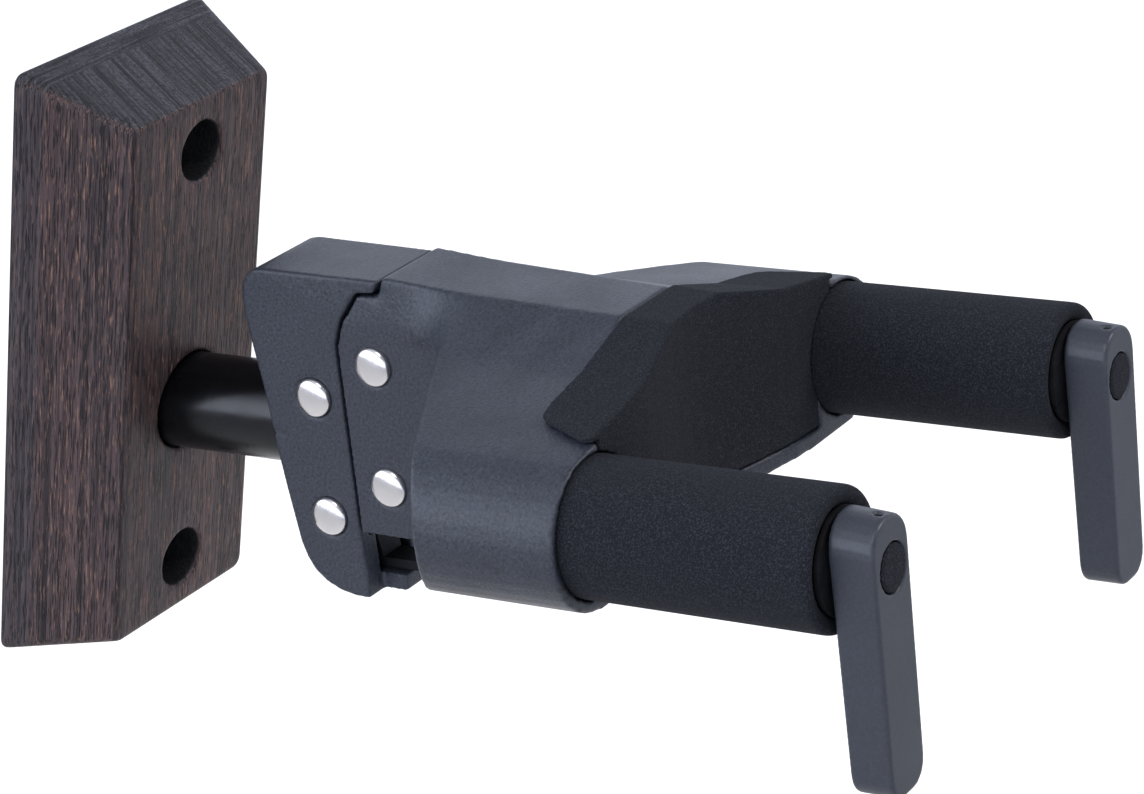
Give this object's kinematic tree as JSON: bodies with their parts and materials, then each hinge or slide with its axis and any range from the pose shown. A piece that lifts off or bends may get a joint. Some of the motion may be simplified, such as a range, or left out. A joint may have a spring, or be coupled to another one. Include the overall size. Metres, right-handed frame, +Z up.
{
  "type": "wall guitar hanger",
  "caption": "Wall hanger for a guitar: a wooden block and sloping steel post carry a swivelling, foam-lined yoke whose end gates swing shut under the instrument's weight.",
  "frame": {"origin": "centre of the wooden block's back face, which lies against the wall", "axes": "+Y into the wall, +Z up, +X to the right of a person facing the wall"},
  "size_m": [0.118, 0.2026, 0.1234],
  "materials": {
    "stained_wood": "dark open-grain stain, matt",
    "black_steel": "gloss black enamel",
    "slate_plastic": "fine-grained slate grey, satin",
    "gate_rubber": "smooth slate grey, satin",
    "black_foam": "closed-cell foam, matt",
    "bright_steel": "polished steel",
    "bush_nylon": "black nylon"
  },
  "bodies": {
    "wall": {"wood_base": "stained_wood", "post_tube": "black_steel", "post_insert": "bright_steel", "post_washer": "bright_steel", "post_bolt": "bright_steel", "swivel_plug": "bright_steel", "swivel_washer": "bright_steel", "swivel_bolt": "bright_steel"},
    "bracket": {"rear_bracket": "slate_plastic", "swivel_bush": "bush_nylon", "rear_upper_rivet": "bright_steel", "rear_lower_rivet": "bright_steel", "actuator_beam": "black_steel", "beam_pin": "bright_steel"},
    "upper_link_body": {"upper_link": "black_steel", "return_spring": "bright_steel"},
    "lower_link_body": {"lower_link": "black_steel"},
    "yoke": {"yoke_body": "slate_plastic", "front_upper_rivet": "bright_steel", "front_lower_rivet": "bright_steel", "saddle_pad": "black_foam", "bottom_cover": "slate_plastic", "cover_screw_left": "bright_steel", "cover_screw_right": "bright_steel", "arm_tube_left": "black_steel", "arm_tube_right": "black_steel", "foam_sleeve_left": "black_foam", "foam_sleeve_right": "black_foam", "end_collar_left": "black_steel", "end_collar_right": "black_steel", "rear_bush_left": "bush_nylon", "rear_bush_right": "bush_nylon", "front_bush_left": "bush_nylon", "front_bush_right": "bush_nylon"},
    "gate_left_body": {"gate_left": "gate_rubber", "gate_plug_left": "black_foam", "gate_screw_left": "bright_steel", "gate_shaft_left": "bright_steel", "crank_left": "bright_steel", "crank_pin_left": "bright_steel"},
    "gate_right_body": {"gate_right": "gate_rubber", "gate_plug_right": "black_foam", "gate_screw_right": "bright_steel", "gate_shaft_right": "bright_steel", "crank_right": "bright_steel", "crank_pin_right": "bright_steel"}
  },
  "joints": [
    {"name": "bracket_swivel", "type": "hinge", "parent": "wall", "child": "bracket", "pos_m": [0, -0.0229, -0.00858], "axis": [0, -0.9738, 0.2273], "range_deg": [-35, 35]},
    {"name": "yoke_drop", "type": "hinge", "parent": "bracket", "child": "upper_link_body", "pos_m": [0, -0.05809, 0.00785], "axis": [1, 0, 0], "range_deg": [0, 27], "stiffness_Nm_per_rad": 0.2, "springref_deg": -34.38},
    {"name": "lower_link_swing", "type": "hinge", "parent": "bracket", "child": "lower_link_body", "pos_m": [0, -0.06354, -0.01552], "axis": [1, 0, 0], "range_deg": [-0.5, 27.5]},
    {"name": "yoke_level", "type": "hinge", "parent": "upper_link_body", "child": "yoke", "pos_m": [0, -0.07067, 0.01859], "axis": [1, 0, 0], "range_deg": [-27.5, 0.5]},
    {"name": "gate_left_swing", "type": "hinge", "parent": "yoke", "child": "gate_left_body", "pos_m": [-0.0446, -0.1879, 0.03682], "axis": [0, -0.9738, 0.2273], "range_deg": [-0.5, 60.5]},
    {"name": "gate_right_swing", "type": "hinge", "parent": "yoke", "child": "gate_right_body", "pos_m": [0.0446, -0.1879, 0.03682], "axis": [0, 0.9738, -0.2273], "range_deg": [-0.5, 60.5]}
  ],
  "couplings": [
    {"joint": "yoke_level", "follows": "yoke_drop", "ratio": -1},
    {"joint": "lower_link_swing", "follows": "yoke_drop", "ratio": 1},
    {"joint": "gate_left_swing", "follows": "yoke_drop", "ratio": 2.2222},
    {"joint": "gate_right_swing", "follows": "yoke_drop", "ratio": 2.2222}
  ]
}
